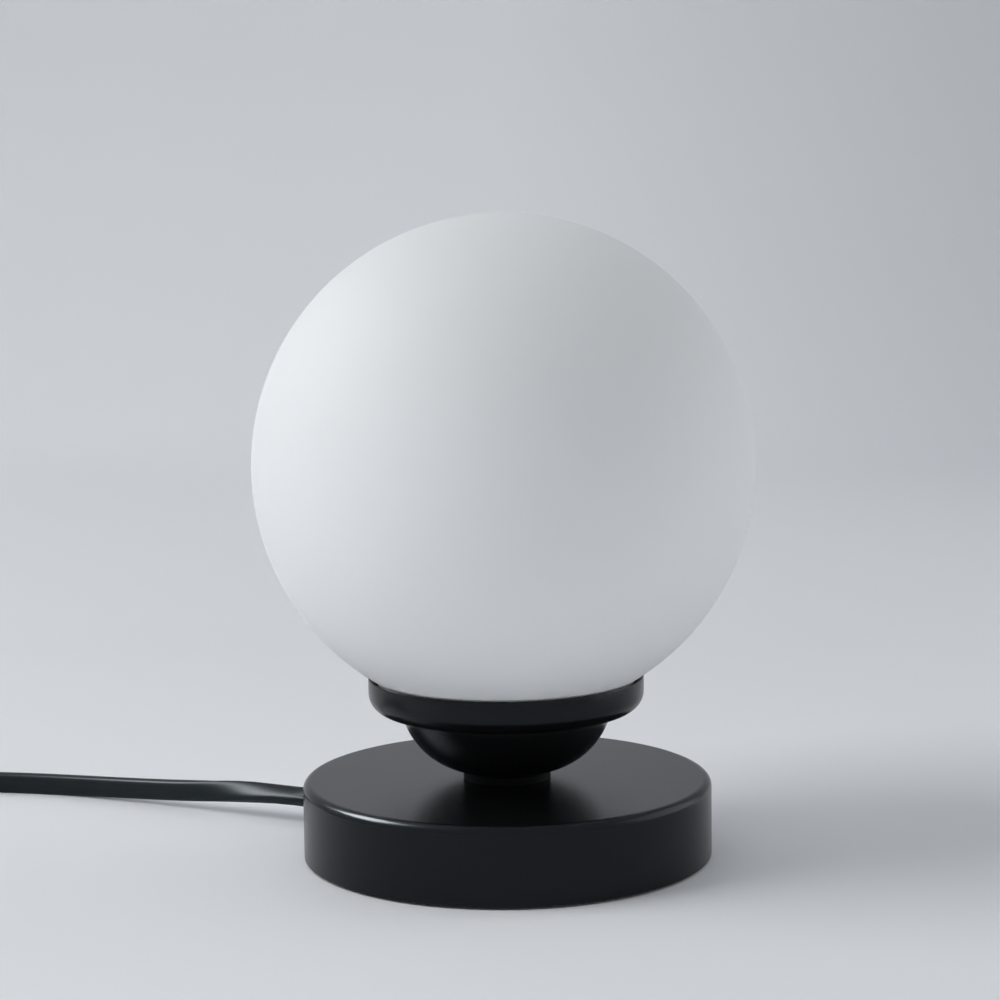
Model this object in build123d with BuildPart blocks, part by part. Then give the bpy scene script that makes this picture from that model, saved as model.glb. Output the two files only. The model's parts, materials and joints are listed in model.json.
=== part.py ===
# Glass table lamp: an opal globe in a spun-steel cup on a weighted round base, with a flat mains lead.
# Millimetres, Z up. The origin is on the table under the middle of the base, and the front faces -Y.
import math
import os

from build123d import *

# Base: a pressed pan over a cast weight, closed below by a plate on a soft ring
base_diameter = 123.5
base_top_z = 23.7
base_edge_radius = 2.4
pan_wall = 1.2
pan_lift = 0.8
foot_inset = 2.55
foot_width = 9.0
foot_thickness = 2.0
cover_sheet = 1.0
cover_slack = 0.35
ballast_slack = 3.5
ballast_thickness = 9.7
boss_radius = 5.0
boss_circle_radius = 40.0
boss_first_angle = 90.0
boss_count = 3
cover_screw_diameter = 3.0
cover_screw_head_radius = 2.75
cover_screw_head_height = 1.3
cover_screw_grip = 6.0
boss_hole_extra = 2.0

# Threaded tube on the axis, with its nuts and washers
nipple_diameter = 10.0
nipple_bore = 7.8
nipple_tail = 1.0
nipple_into_holder = 6.0
thread_slack = 0.05
hole_slack = 0.25
nut_flats = 14.0
nut_height = 4.0
lower_washer_radius = 12.0
lower_washer_thickness = 1.5
upper_washer_radius = 9.0
upper_washer_thickness = 1.2
collar_radius = 13.2
collar_height = 2.45

# Cup: an upright rim over a round bowl
cup_sheet = 1.5
rim_radius = 41.5
rim_top_z = 55.0
rim_under_z = 44.7
rim_corner_radius = 5.6
rim_bevel = 0.6
bowl_flat_radius = 9.4
bowl_arc_radius = 22.8

# Globe and the ring that it stands on
globe_diameter = 150.0
glass_wall = 2.8
glass_gap = 0.6
neck_slack = 0.95
seat_gap = 0.3
gasket_inner_radius = 33.0
gasket_height = 2.0
gasket_slack = 0.1

# Lampholder for a 27 mm screw cap
holder_radius = 20.0
holder_gap = 0.2
holder_boss_radius = 8.5
holder_boss_height = 5.1
holder_cap_floor = 2.0
holder_cap_height = 16.6
holder_cap_skirt = 5.0
holder_ledge_width = 4.0
holder_wall = 2.9
holder_body_height = 34.0
holder_lip_height = 2.0
holder_lip_width = 5.0
insert_height = 7.0
insert_slack = 0.2
shell_inner_radius = 13.4
shell_wall = 0.5
shell_height = 23.0
leaf_thickness = 0.6
leaf_width = 5.0
leaf_rise = 2.3
leaf_back_x = -7.0
leaf_bend_x = -2.0
leaf_tip_x = 3.5
terminal_offset = 8.0
terminal_size = 5.0
terminal_screw_radius = 1.5
terminal_screw_length = 3.0

# Bulb with a 27 mm screw cap and a 45 mm round envelope
bulb_cap_slack = 0.4
bulb_contact_gap = 0.3
bulb_contact_radius = 4.5
bulb_contact_height = 1.0
bulb_insulator_radius = 11.0
bulb_insulator_height = 2.4
bulb_cap_sheet = 0.6
bulb_cap_height = 21.8
bulb_plug_depth = 6.8
bulb_shoulder_radius = 14.0
bulb_housing_radius = 21.5
bulb_housing_height = 19.2
bulb_diameter = 45.0
bulb_wall = 1.2
bulb_ball_drop = 10.5
board_radius = 18.0
board_thickness = 1.5

# Flat two-core lead, standing on its narrow edge
cord_width = 6.8
cord_thickness = 4.2
cord_slack = 0.1
cord_exit_angle = 150.0
cord_exit_z = 8.8
cord_inner_end = 24.0
first_run = 25.0
core_spacing = 2.6
wire_diameter = 2.2
wire_spread = 1.4
wire_low_z = 4.6
wire_fan = 0.6
wire_straight = 2.5
wire_fan_run = 3.5
wire_nut_gap = 2.5
wire_bend_radius = 1.1
bushing_barrel_radius = 4.75
bushing_flange_radius = 6.2
bushing_flange_thickness = 2.6
bushing_lug_radius = 5.6
bushing_lug_thickness = 1.6

# In-line switch
switch_near_x = -220.0
switch_y = 88.0
switch_length = 56.0
switch_width = 24.0
switch_corner = 8.0
switch_split_z = 7.0
switch_top_z = 14.5
switch_wall = 1.8
switch_edge_radius = 1.5
switch_cord_z = 6.0
switch_grip = 8.0
switch_end_wall = 9.0
rocker_length = 14.4
rocker_width = 8.8
rocker_slack_long = 0.9
rocker_slack_wide = 0.4
rocker_rest_angle = 8.0
rocker_above_pin = 4.6
rocker_below_pin = 2.4
rocker_dish = 0.8
pin_drop = 3.9
pin_radius = 1.0
pin_slack = 0.05
ear_thickness = 2.0
ear_below_pin = 1.6
switch_screw_radius = 1.1
switch_screw_head_radius = 2.2
switch_screw_head_height = 1.4
switch_screw_recess = 0.4
switch_screw_inset = 5.0
switch_screw_side = 7.0
switch_screw_top_gap = 3.5
contact_offset = 9.0
contact_length = 6.0
contact_width = 6.0
contact_sheet = 0.8
contact_height = 4.4

# Coil of the unused length, tied with a strap
coil_x = -313.0
coil_outer_radius = 45.0
coil_pitch = 5.3
coil_turns_per_layer = 3
coil_layer_step = 7.8
coil_climb_dip = 1.6
tie_sheet = 0.6
tie_width = 12.0
tie_slack = 0.8
tie_corner = 1.2
link_run = 11.0
tail_run = 14.0
tail_slope_run = 24.0

# Two-pin plug
plug_length = 36.0
plug_width = 34.0
plug_height = 13.7
plug_grip_length = 14.0
plug_grip_width = 33.0
plug_neck_length = 12.0
plug_neck_width = 20.0
plug_neck_height = 12.6
plug_tail_width = 9.0
plug_tail_height = 10.0
plug_corner = 3.0
plug_pin_radius = 2.0
plug_pin_length = 19.0
plug_pin_spacing = 18.6
plug_pin_root = 5.0
plug_pin_tip = 1.6
plug_sleeve_length = 10.0
plug_sleeve_wall = 0.5

# Heights and radii that follow from the sizes above
base_radius = base_diameter / 2
pan_inner_radius = base_radius - pan_wall
pan_under_z = base_top_z - pan_wall
foot_outer_radius = pan_inner_radius - foot_inset
foot_inner_radius = foot_outer_radius - foot_width
cover_top_z = foot_thickness + cover_sheet
ballast_radius = pan_inner_radius - ballast_slack
ballast_under_z = pan_under_z - ballast_thickness
nipple_radius = nipple_diameter / 2
axis_hole_radius = nipple_radius + hole_slack
lower_nut_top_z = ballast_under_z - lower_washer_thickness
lower_nut_under_z = lower_nut_top_z - nut_height
nipple_under_z = lower_nut_under_z - nipple_tail
cup_under_z = base_top_z + collar_height
cup_floor_z = cup_under_z + cup_sheet
upper_nut_under_z = cup_floor_z + upper_washer_thickness
upper_nut_top_z = upper_nut_under_z + nut_height
holder_under_z = upper_nut_top_z + holder_gap
nipple_top_z = holder_under_z + nipple_into_holder
rim_inner_radius = rim_radius - cup_sheet
rim_floor_z = rim_under_z + cup_sheet
rim_corner_z = rim_under_z + rim_corner_radius
rim_corner_centre = rim_radius - rim_corner_radius
bowl_centre_z = cup_under_z + bowl_arc_radius
gasket_top_z = rim_floor_z + gasket_height
globe_radius = globe_diameter / 2
globe_centre_z = rim_top_z - rim_bevel + glass_gap + math.sqrt(globe_radius**2 - rim_inner_radius**2)
neck_under_z = gasket_top_z + seat_gap
holder_cap_top_z = holder_under_z + holder_cap_height
insert_radius = holder_radius - holder_wall - insert_slack
insert_top_z = holder_cap_top_z + insert_height
holder_top_z = holder_cap_top_z + holder_body_height
terminal_under_z = holder_cap_top_z - terminal_size
bulb_contact_z = insert_top_z + leaf_rise + bulb_contact_gap
bulb_insulator_z = bulb_contact_z + bulb_contact_height
bulb_cap_z = bulb_insulator_z + bulb_insulator_height
bulb_cap_radius = shell_inner_radius - bulb_cap_slack
bulb_shoulder_z = bulb_cap_z + bulb_cap_height
bulb_board_z = bulb_shoulder_z + bulb_housing_height
bulb_radius = bulb_diameter / 2
bulb_centre_z = bulb_board_z + bulb_ball_drop


def on_arc(centre, radius, height):
    """How far out an arc about (centre, 0) of the given radius is at a height above or below its middle."""
    return centre + math.sqrt(radius**2 - height**2)


def turned(points):
    """A solid of revolution about Z from a closed profile of (radius, z) points."""
    with BuildPart() as piece:
        with BuildSketch(Plane.XZ):
            with BuildLine():
                Polyline(*points, close=True)
            make_face()
        revolve(axis=Axis.Z)
    return piece


def ring(inner_radius, outer_radius, under_z, top_z):
    """A flat ring about Z, or a disc where the inner radius is zero."""
    low = [(inner_radius, under_z), (outer_radius, under_z)]
    high = [(outer_radius, top_z), (inner_radius, top_z)]
    return turned(low + high)


def hex_nut(under_z):
    """A plain hexagon nut on the threaded tube."""
    with BuildPart() as nut:
        with BuildSketch(Plane.XY.offset(under_z)):
            RegularPolygon(nut_flats / 2, 6, major_radius=False)
            Circle(nipple_radius + thread_slack, mode=Mode.SUBTRACT)
        extrude(amount=nut_height)
    return nut


def cord_outline(plane, slack=0.0):
    """The lead's flat section with cut corners, its width along the plane's own X."""
    half_width = cord_width / 2 + slack
    half_thickness = cord_thickness / 2 + slack
    cut = half_thickness * (2 - math.sqrt(2))
    with BuildSketch(plane) as outline:
        Rectangle(2 * half_width, 2 * half_thickness)
        chamfer(outline.vertices(), cut)
    return outline.sketch


def section_plane(start, way):
    """The plane across the lead at its start, with the lead standing on its narrow edge."""
    return Plane(origin=start, x_dir=Vector(0, 0, 1), z_dir=way)


def route_radii(points):
    """The largest arc that fits at each corner of a route."""
    radii = []
    for before, corner, after in zip(points, points[1:], points[2:]):
        shorter = min((corner - before).length, (after - corner).length)
        half_turn = math.radians((corner - before).get_angle(after - corner)) / 2
        radii.append(0.45 * shorter / math.tan(half_turn))
    return radii


def lay_cord(name, points):
    """A free stretch of the lead along straight runs joined by arcs."""
    points = [Vector(*point) for point in points]
    radii = route_radii(points)
    with BuildPart() as stretch:
        with BuildLine() as route:
            FilletPolyline(*points, radius=radii)
        sweep(cord_outline(section_plane(points[0], points[1] - points[0])), path=route.wire())
    length = route.wire().length
    report_cord(name, stretch.part, length)
    print(name, "radii", [round(radius, 1) for radius in radii])
    return stretch


def report_cord(name, part, length):
    """Prints a stretch's length and how its volume compares with section times length."""
    section = cord_outline(Plane.XY).area
    print(name, "length", round(length, 1), "volume share", round(part.volume / (section * length), 4))


def wire_tube(points, radius):
    """A round single core along straight runs with rounded corners."""
    points = [Vector(*point) for point in points]
    with BuildPart() as core:
        with BuildLine() as route:
            FilletPolyline(*points, radius=radius)
        with BuildSketch(Plane(origin=points[0], z_dir=points[1] - points[0])):
            Circle(wire_diameter / 2)
        sweep(path=route.wire())
    return core


# Foot, bottom plate and its screws
foot_ring = ring(foot_inner_radius, foot_outer_radius, 0, foot_thickness)

with BuildPart() as bottom_cover:
    with BuildSketch(Plane.XY.offset(foot_thickness)):
        Circle(pan_inner_radius - cover_slack)
        with PolarLocations(boss_circle_radius, boss_count, boss_first_angle):
            Circle(cover_screw_diameter / 2 + hole_slack, mode=Mode.SUBTRACT)
    extrude(amount=cover_sheet)

with BuildPart() as cover_screws:
    with BuildSketch(Plane.XY.offset(foot_thickness)):
        with PolarLocations(boss_circle_radius, boss_count, boss_first_angle):
            Circle(cover_screw_diameter / 2 - thread_slack)
    extrude(amount=cover_sheet + cover_screw_grip)
    with BuildSketch(Plane.XY.offset(foot_thickness)):
        with PolarLocations(boss_circle_radius, boss_count, boss_first_angle):
            Circle(cover_screw_head_radius)
    extrude(amount=-cover_screw_head_height)

# Cast weight with three bosses that the bottom plate is screwed to
with BuildPart() as ballast:
    with BuildSketch(Plane.XY.offset(ballast_under_z)):
        Circle(ballast_radius)
    extrude(amount=ballast_thickness)
    with BuildSketch(Plane.XY.offset(cover_top_z)):
        with PolarLocations(boss_circle_radius, boss_count, boss_first_angle):
            Circle(boss_radius)
    extrude(until=Until.NEXT)
    with BuildSketch(Plane.XY.offset(cover_top_z)):
        with PolarLocations(boss_circle_radius, boss_count, boss_first_angle):
            Circle(cover_screw_diameter / 2)
    extrude(amount=cover_screw_grip + boss_hole_extra, mode=Mode.SUBTRACT)
    with BuildSketch(Plane.XY.offset(ballast_under_z)):
        Circle(axis_hole_radius)
    extrude(amount=ballast_thickness, mode=Mode.SUBTRACT)

# Where the lead leaves the base, and the plane across it there
cord_way = Vector(math.cos(math.radians(cord_exit_angle)), math.sin(math.radians(cord_exit_angle)), 0)
cord_side = Vector(-cord_way.Y, cord_way.X, 0)
exit_axis = Vector(0, 0, cord_exit_z)


def cord_plane(reach):
    """The plane across the lead at a distance from the lamp's axis."""
    return section_plane(exit_axis + cord_way * reach, cord_way)


with BuildPart() as base_pan:
    with BuildSketch(Plane.XY.offset(pan_lift)):
        Circle(base_radius)
    extrude(amount=base_top_z - pan_lift)
    fillet(base_pan.edges().group_by(Axis.Z)[-1], base_edge_radius)
    offset(amount=-pan_wall, openings=base_pan.faces().sort_by(Axis.Z)[0])
    with BuildSketch(Plane.XY.offset(pan_under_z)):
        Circle(axis_hole_radius)
    extrude(amount=pan_wall, mode=Mode.SUBTRACT)
    with BuildSketch(cord_plane(ballast_radius)):
        Circle(bushing_barrel_radius + thread_slack)
    extrude(amount=base_radius, mode=Mode.SUBTRACT)

# Bushing that grips the lead in the wall: outer flange, barrel and inner lug
flange_in = base_radius + thread_slack
exit_reach = flange_in + bushing_flange_thickness
lug_out = math.sqrt(pan_inner_radius**2 - bushing_lug_radius**2) - thread_slack
lug_in = lug_out - bushing_lug_thickness

with BuildPart() as cord_bushing:
    with BuildSketch(cord_plane(lug_in)):
        Circle(bushing_barrel_radius)
    extrude(amount=exit_reach - lug_in)
    with BuildSketch(cord_plane(flange_in)):
        Circle(bushing_flange_radius)
    extrude(amount=bushing_flange_thickness)
    with BuildSketch(cord_plane(lug_in)):
        Circle(bushing_lug_radius)
    extrude(amount=bushing_lug_thickness)
    extrude(cord_outline(cord_plane(lug_in), cord_slack), amount=exit_reach - lug_in, mode=Mode.SUBTRACT)

with BuildPart() as inner_cord:
    extrude(cord_outline(cord_plane(cord_inner_end)), amount=exit_reach - cord_inner_end)

# Threaded tube with the parts that it clamps
nipple = ring(nipple_bore / 2, nipple_radius, nipple_under_z, nipple_top_z)
lower_nut = hex_nut(lower_nut_under_z)
lower_washer = ring(axis_hole_radius, lower_washer_radius, lower_nut_top_z, ballast_under_z)
collar = ring(axis_hole_radius, collar_radius, base_top_z, cup_under_z)
upper_washer = ring(axis_hole_radius, upper_washer_radius, cup_floor_z, upper_nut_under_z)
upper_nut = hex_nut(upper_nut_under_z)

# Spun cup: flat floor, round bowl, ledge, rounded corner and upright rim
bowl_top_radius = on_arc(bowl_flat_radius, bowl_arc_radius, bowl_centre_z - rim_under_z)
bowl_throat_radius = on_arc(bowl_flat_radius, bowl_arc_radius - cup_sheet, bowl_centre_z - rim_floor_z)

with BuildPart() as cup:
    with BuildSketch(Plane.XZ):
        with BuildLine():
            Line((axis_hole_radius, cup_under_z), (bowl_flat_radius, cup_under_z))
            RadiusArc((bowl_flat_radius, cup_under_z), (bowl_top_radius, rim_under_z), -bowl_arc_radius)
            Line((bowl_top_radius, rim_under_z), (rim_corner_centre, rim_under_z))
            RadiusArc((rim_corner_centre, rim_under_z), (rim_radius, rim_corner_z), -rim_corner_radius)
            Polyline(
                (rim_radius, rim_corner_z),
                (rim_radius, rim_top_z),
                (rim_inner_radius, rim_top_z - rim_bevel),
                (rim_inner_radius, rim_corner_z),
            )
            RadiusArc(
                (rim_inner_radius, rim_corner_z),
                (rim_corner_centre, rim_floor_z),
                rim_corner_radius - cup_sheet,
            )
            Line((rim_corner_centre, rim_floor_z), (bowl_throat_radius, rim_floor_z))
            RadiusArc(
                (bowl_throat_radius, rim_floor_z),
                (bowl_flat_radius, cup_floor_z),
                bowl_arc_radius - cup_sheet,
            )
            Polyline(
                (bowl_flat_radius, cup_floor_z),
                (axis_hole_radius, cup_floor_z),
                (axis_hole_radius, cup_under_z),
            )
        make_face()
    revolve(axis=Axis.Z)

# Soft ring in the cup's corner, under the glass
gasket_arc_radius = rim_corner_radius - cup_sheet - gasket_slack
gasket_outer_radius = on_arc(rim_corner_centre, gasket_arc_radius, rim_corner_z - gasket_top_z)
gasket_under_z = rim_corner_z - gasket_arc_radius

with BuildPart() as gasket:
    with BuildSketch(Plane.XZ):
        with BuildLine():
            Polyline(
                (gasket_outer_radius, gasket_top_z),
                (gasket_inner_radius, gasket_top_z),
                (gasket_inner_radius, gasket_under_z),
                (rim_corner_centre, gasket_under_z),
            )
            RadiusArc(
                (rim_corner_centre, gasket_under_z),
                (gasket_outer_radius, gasket_top_z),
                -gasket_arc_radius,
            )
        make_face()
    revolve(axis=Axis.Z)

# Blown glass ball with a short neck
cup_inner_corner = rim_corner_radius - cup_sheet
cup_radius_at_neck = on_arc(rim_corner_centre, cup_inner_corner, rim_corner_z - neck_under_z)
neck_outer_radius = cup_radius_at_neck - neck_slack
neck_inner_radius = neck_outer_radius - glass_wall
ball_inner_radius = globe_radius - glass_wall
neck_outer_z = globe_centre_z - math.sqrt(globe_radius**2 - neck_outer_radius**2)
neck_inner_z = globe_centre_z - math.sqrt(ball_inner_radius**2 - neck_inner_radius**2)

with BuildPart() as globe:
    with BuildSketch(Plane.XZ):
        with BuildLine():
            Line((neck_inner_radius, neck_under_z), (neck_outer_radius, neck_under_z))
            Line((neck_outer_radius, neck_under_z), (neck_outer_radius, neck_outer_z))
            ThreePointArc(
                (neck_outer_radius, neck_outer_z),
                (globe_radius, globe_centre_z),
                (0, globe_centre_z + globe_radius),
            )
            Line((0, globe_centre_z + globe_radius), (0, globe_centre_z + ball_inner_radius))
            ThreePointArc(
                (0, globe_centre_z + ball_inner_radius),
                (ball_inner_radius, globe_centre_z),
                (neck_inner_radius, neck_inner_z),
            )
            Line((neck_inner_radius, neck_inner_z), (neck_inner_radius, neck_under_z))
        make_face()
    revolve(axis=Axis.Z)

# Lampholder: cap on the tube, sleeve, core, screw shell, spring leaf and terminals
holder_cap_floor_z = holder_under_z + holder_boss_height + holder_cap_floor
holder_skirt_z = holder_cap_top_z - holder_cap_skirt
holder_bore_radius = nipple_radius + thread_slack
holder_throat_radius = holder_radius - holder_ledge_width

lampholder_cap = turned([
    (holder_bore_radius, holder_under_z),
    (holder_boss_radius, holder_under_z),
    (holder_boss_radius, holder_under_z + holder_boss_height),
    (holder_radius, holder_skirt_z),
    (holder_radius, holder_cap_top_z),
    (holder_throat_radius, holder_cap_top_z),
    (holder_throat_radius, holder_skirt_z + holder_cap_floor),
    (holder_boss_radius, holder_cap_floor_z),
    (holder_bore_radius, holder_cap_floor_z),
])

lampholder_body = turned([
    (holder_radius - holder_wall, holder_cap_top_z),
    (holder_radius, holder_cap_top_z),
    (holder_radius, holder_top_z),
    (holder_radius - holder_lip_width, holder_top_z),
    (holder_radius - holder_lip_width, holder_top_z - holder_lip_height),
    (holder_radius - holder_wall, holder_top_z - holder_lip_height),
])

lampholder_insert = ring(0, insert_radius, holder_cap_top_z, insert_top_z)
lampholder_shell = ring(
    shell_inner_radius,
    shell_inner_radius + shell_wall,
    insert_top_z,
    insert_top_z + shell_height,
)

with BuildPart() as lampholder_contact:
    with BuildSketch(Plane.XZ):
        with BuildLine():
            Polyline(
                (leaf_back_x, insert_top_z),
                (leaf_bend_x, insert_top_z),
                (leaf_tip_x, insert_top_z + leaf_rise - leaf_thickness),
                (leaf_tip_x, insert_top_z + leaf_rise),
                (leaf_bend_x, insert_top_z + leaf_thickness),
                (leaf_back_x, insert_top_z + leaf_thickness),
                close=True,
            )
        make_face()
    extrude(amount=leaf_width / 2, both=True)

with BuildPart() as terminal_blocks:
    with BuildSketch(Plane.XY.offset(terminal_under_z)):
        with Locations((terminal_offset, 0), (-terminal_offset, 0)):
            Rectangle(terminal_size, terminal_size)
    extrude(amount=terminal_size)
    with BuildSketch(Plane.XZ.offset(terminal_size / 2)):
        with Locations(
            (terminal_offset, terminal_under_z + terminal_size / 2),
            (-terminal_offset, terminal_under_z + terminal_size / 2),
        ):
            Circle(terminal_screw_radius + thread_slack)
    extrude(amount=-terminal_screw_length, mode=Mode.SUBTRACT)

with BuildPart() as terminal_screws:
    with BuildSketch(Plane.XZ.offset(terminal_size / 2)):
        with Locations(
            (terminal_offset, terminal_under_z + terminal_size / 2),
            (-terminal_offset, terminal_under_z + terminal_size / 2),
        ):
            Circle(terminal_screw_radius)
    extrude(amount=-terminal_screw_length)

# Cores of the lead: under the tube, up through it and out to the terminals
def core_route(height, spread, terminal_x):
    """Points of one core, from the end of the lead to its terminal."""
    lead_end = exit_axis + cord_way * cord_inner_end + Vector(0, 0, height)
    low_reach = nut_flats / math.sqrt(3) + wire_nut_gap
    side = cord_side * spread
    low = Vector(0, 0, wire_low_z)
    return [
        lead_end,
        lead_end - cord_way * wire_straight,
        lead_end - cord_way * (wire_straight + wire_fan_run) + side * wire_fan,
        cord_way * low_reach + side + low,
        side + low,
        side + Vector(0, 0, nipple_top_z + 2 * wire_bend_radius),
        Vector(terminal_x, 0, terminal_under_z - 2 * wire_bend_radius),
        Vector(terminal_x, 0, terminal_under_z),
    ]


live_wire = wire_tube(core_route(core_spacing / 2, -wire_spread, terminal_offset), wire_bend_radius)
neutral_wire = wire_tube(core_route(-core_spacing / 2, wire_spread, -terminal_offset), wire_bend_radius)

# Bulb
bulb_contact = ring(0, bulb_contact_radius, bulb_contact_z, bulb_insulator_z)
bulb_insulator = turned([
    (0, bulb_insulator_z),
    (bulb_contact_radius, bulb_insulator_z),
    (bulb_insulator_radius, bulb_cap_z),
    (0, bulb_cap_z),
])
bulb_screw_shell = turned([
    (0, bulb_cap_z),
    (bulb_cap_radius, bulb_cap_z),
    (bulb_cap_radius, bulb_shoulder_z),
    (bulb_cap_radius - bulb_cap_sheet, bulb_shoulder_z),
    (bulb_cap_radius - bulb_cap_sheet, bulb_cap_z + bulb_cap_sheet),
    (0, bulb_cap_z + bulb_cap_sheet),
])
bulb_housing = turned([
    (0, bulb_shoulder_z - bulb_plug_depth),
    (bulb_cap_radius - bulb_cap_sheet - thread_slack, bulb_shoulder_z - bulb_plug_depth),
    (bulb_cap_radius - bulb_cap_sheet - thread_slack, bulb_shoulder_z),
    (bulb_shoulder_radius, bulb_shoulder_z),
    (bulb_housing_radius, bulb_board_z),
    (0, bulb_board_z),
])
led_board = ring(0, board_radius, bulb_board_z, bulb_board_z + board_thickness)

bulb_foot_outer = on_arc(0, bulb_radius, bulb_ball_drop)
bulb_foot_inner = on_arc(0, bulb_radius - bulb_wall, bulb_ball_drop)

with BuildPart() as bulb_envelope:
    with BuildSketch(Plane.XZ):
        with BuildLine():
            Line((bulb_foot_inner, bulb_board_z), (bulb_foot_outer, bulb_board_z))
            ThreePointArc(
                (bulb_foot_outer, bulb_board_z),
                (bulb_radius, bulb_centre_z),
                (0, bulb_centre_z + bulb_radius),
            )
            Line((0, bulb_centre_z + bulb_radius), (0, bulb_centre_z + bulb_radius - bulb_wall))
            ThreePointArc(
                (0, bulb_centre_z + bulb_radius - bulb_wall),
                (bulb_radius - bulb_wall, bulb_centre_z),
                (bulb_foot_inner, bulb_board_z),
            )
        make_face()
    revolve(axis=Axis.Z)

# Lead from the base to the switch: out of the wall, down to the table and away to the left
exit_point = exit_axis + cord_way * exit_reach
switch_far_x = switch_near_x - switch_length
switch_middle_x = (switch_near_x + switch_far_x) / 2
cord_floor_z = cord_width / 2

cord_free = lay_cord("cord_free", [
    exit_point,
    exit_point + cord_way * first_run,
    (-104.0, 58.5, 6.0),
    (-130.0, 72.5, 4.0),
    (-156.0, 82.0, cord_floor_z),
    (-182.0, 86.5, cord_floor_z),
    (-204.0, switch_y, switch_cord_z),
    (switch_near_x - switch_grip, switch_y, switch_cord_z),
])

# Switch shells, closed by two screws from below
switch_floor_z = switch_wall
switch_ceiling_z = switch_top_z - switch_wall
screw_spots = [
    (switch_near_x - switch_screw_inset, switch_y + switch_screw_side),
    (switch_far_x + switch_screw_inset, switch_y - switch_screw_side),
]
screw_end_z = switch_top_z - switch_screw_top_gap
screw_head_top_z = switch_screw_recess + switch_screw_head_height
cavity_length = switch_length - 2 * switch_end_wall
cavity_width = switch_width - 2 * switch_wall
pin_z = switch_top_z - pin_drop
near_grip_plane = section_plane(Vector(switch_near_x - switch_grip, switch_y, switch_cord_z), Vector(1, 0, 0))
far_grip_plane = section_plane(Vector(switch_far_x + switch_grip, switch_y, switch_cord_z), Vector(-1, 0, 0))

with BuildPart() as switch_lower:
    with BuildSketch():
        with Locations((switch_middle_x, switch_y)):
            RectangleRounded(switch_length, switch_width, switch_corner)
    extrude(amount=switch_split_z)
    fillet(switch_lower.edges().group_by(Axis.Z)[0], switch_edge_radius)
    with BuildSketch(Plane.XY.offset(switch_floor_z)):
        with Locations((switch_middle_x, switch_y)):
            Rectangle(cavity_length, cavity_width)
    extrude(amount=switch_split_z - switch_floor_z, mode=Mode.SUBTRACT)
    with BuildSketch():
        with Locations(*screw_spots):
            Circle(switch_screw_radius + thread_slack)
    extrude(amount=switch_split_z, mode=Mode.SUBTRACT)
    with BuildSketch():
        with Locations(*screw_spots):
            Circle(switch_screw_head_radius + hole_slack)
    extrude(amount=screw_head_top_z, mode=Mode.SUBTRACT)
    extrude(cord_outline(near_grip_plane, cord_slack), amount=switch_grip, mode=Mode.SUBTRACT)
    extrude(cord_outline(far_grip_plane, cord_slack), amount=switch_grip, mode=Mode.SUBTRACT)

ear_spots = [
    (switch_middle_x, switch_y + rocker_width / 2 + rocker_slack_wide + ear_thickness / 2),
    (switch_middle_x, switch_y - rocker_width / 2 - rocker_slack_wide - ear_thickness / 2),
]
ear_under_z = pin_z - pin_radius - ear_below_pin
pin_length = rocker_width + 2 * rocker_slack_wide + 2 * ear_thickness

with BuildPart() as switch_upper:
    with BuildSketch(Plane.XY.offset(switch_split_z)):
        with Locations((switch_middle_x, switch_y)):
            RectangleRounded(switch_length, switch_width, switch_corner)
    extrude(amount=switch_top_z - switch_split_z)
    fillet(switch_upper.edges().group_by(Axis.Z)[-1], switch_edge_radius)
    with BuildSketch(Plane.XY.offset(switch_split_z)):
        with Locations((switch_middle_x, switch_y)):
            Rectangle(cavity_length, cavity_width)
    extrude(amount=switch_ceiling_z - switch_split_z, mode=Mode.SUBTRACT)
    with BuildSketch(Plane.XY.offset(ear_under_z)):
        with Locations(*ear_spots):
            Rectangle(2 * (pin_radius + ear_below_pin), ear_thickness)
    extrude(amount=switch_ceiling_z - ear_under_z)
    with BuildSketch(Plane.XY.offset(switch_ceiling_z)):
        with Locations((switch_middle_x, switch_y)):
            Rectangle(rocker_length + 2 * rocker_slack_long, rocker_width + 2 * rocker_slack_wide)
    extrude(amount=switch_wall, mode=Mode.SUBTRACT)
    with BuildSketch(Plane.XZ.offset(-switch_y)):
        with Locations((switch_middle_x, pin_z)):
            Circle(pin_radius)
    extrude(amount=pin_length / 2, both=True, mode=Mode.SUBTRACT)
    with BuildSketch(Plane.XY.offset(switch_split_z)):
        with Locations(*screw_spots):
            Circle(switch_screw_radius + thread_slack)
    extrude(amount=screw_end_z - switch_split_z, mode=Mode.SUBTRACT)
    extrude(cord_outline(near_grip_plane, cord_slack), amount=switch_grip, mode=Mode.SUBTRACT)
    extrude(cord_outline(far_grip_plane, cord_slack), amount=switch_grip, mode=Mode.SUBTRACT)

with BuildPart() as switch_screws:
    with BuildSketch(Plane.XY.offset(switch_screw_recess)):
        with Locations(*screw_spots):
            Circle(switch_screw_head_radius)
    extrude(amount=switch_screw_head_height)
    with BuildSketch(Plane.XY.offset(screw_head_top_z)):
        with Locations(*screw_spots):
            Circle(switch_screw_radius)
    extrude(amount=screw_end_z - screw_head_top_z)

with BuildPart() as switch_pin:
    with BuildSketch(Plane.XZ.offset(-switch_y)):
        with Locations((switch_middle_x, pin_z)):
            Circle(pin_radius)
    extrude(amount=pin_length / 2, both=True)

# Rocker at rest, tipped with its end nearer the lamp raised
rocker_tilt = math.radians(rocker_rest_angle)
rocker_plane = Plane(
    origin=(switch_middle_x, switch_y, pin_z),
    x_dir=(math.cos(rocker_tilt), 0, math.sin(rocker_tilt)),
    z_dir=(0, -1, 0),
)
rocker_half = rocker_length / 2

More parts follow.
